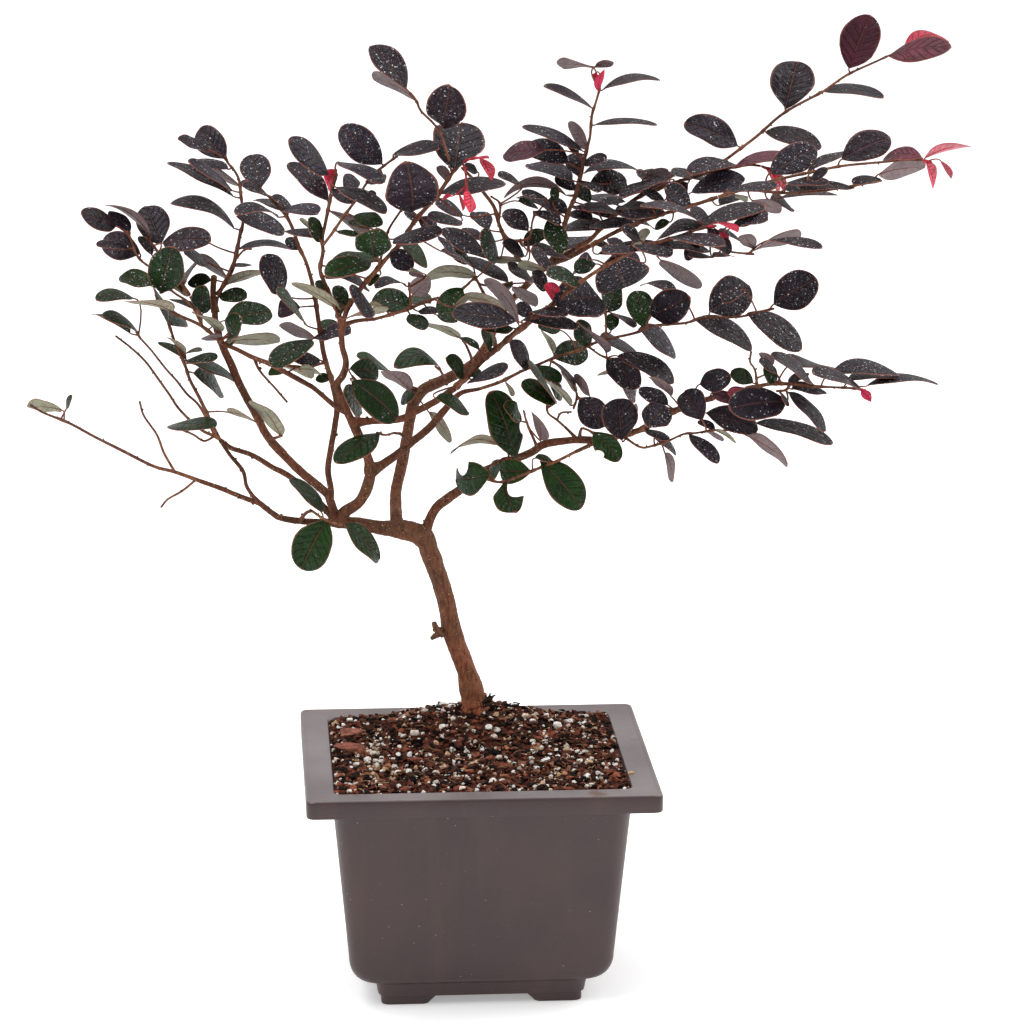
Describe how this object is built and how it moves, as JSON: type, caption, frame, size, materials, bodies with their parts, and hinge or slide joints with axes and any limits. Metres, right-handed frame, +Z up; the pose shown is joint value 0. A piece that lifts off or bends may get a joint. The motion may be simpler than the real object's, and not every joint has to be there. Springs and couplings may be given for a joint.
{
  "type": "potted chinese fringe flower bonsai",
  "caption": "Leaning bonsai with a bent trunk and a wide, airy crown of purple, green and young red leaves, planted in bark mix in a square footed plastic pot.",
  "frame": {"origin": "middle of the bounding box at the level of the pot's feet", "axes": "+Z up, +X to the right and +Y away, seen from the side that the picture shows"},
  "size_m": [0.4646, 0.2154, 0.4655],
  "materials": {
    "pot": "scuffed, with faint brown stains",
    "soil": "damp bark mix with pale grains",
    "wood": "thin brown bark",
    "purple_leaves": "dark purple, slightly shiny on top",
    "green_leaves": "dark green, slightly shiny on top",
    "young_leaves": "bright red, tender"
  },
  "bodies": {
    "root": {"arched_leaf": "green_leaves", "arm_leaf": "green_leaves", "back_leaf": "purple_leaves", "centre_back": "purple_leaves", "centre_front": "purple_leaves", "centre_left": "purple_leaves", "centre_right": "purple_leaves", "far_middle": "purple_leaves", "hanging_low": "green_leaves", "high_low": "purple_leaves", "high_top": "purple_leaves", "inner_left_top": "purple_leaves", "inner_low": "green_leaves", "inner_middle": "purple_leaves", "inner_right_low": "purple_leaves", "inner_right_top": "purple_leaves", "inner_shoots": "purple_leaves", "left_bundle": "green_leaves", "left_far": "purple_leaves", "left_inner": "green_leaves", "left_middle": "green_leaves", "left_top": "purple_leaves", "limb_leaf": "purple_leaves", "low_front": "green_leaves", "low_green": "green_leaves", "low_left": "green_leaves", "low_middle": "green_leaves", "middle_right": "purple_leaves", "middle_twigs": "green_leaves", "pot": "pot", "raised_leaf": "purple_leaves", "right_low": "purple_leaves", "right_shoots": "purple_leaves", "right_tip": "purple_leaves", "right_up": "purple_leaves", "soil": "soil", "top_high": "purple_leaves", "top_low": "purple_leaves", "upper_middle": "purple_leaves", "upper_tip": "purple_leaves", "upright_low": "purple_leaves", "upright_top": "purple_leaves", "wing_leaves": "green_leaves", "wood": "wood", "young_centre": "young_leaves", "young_high": "young_leaves", "young_inner": "young_leaves", "young_low": "young_leaves", "young_right": "young_leaves", "young_top": "young_leaves", "young_upper_tip": "young_leaves"}
  },
  "joints": []
}
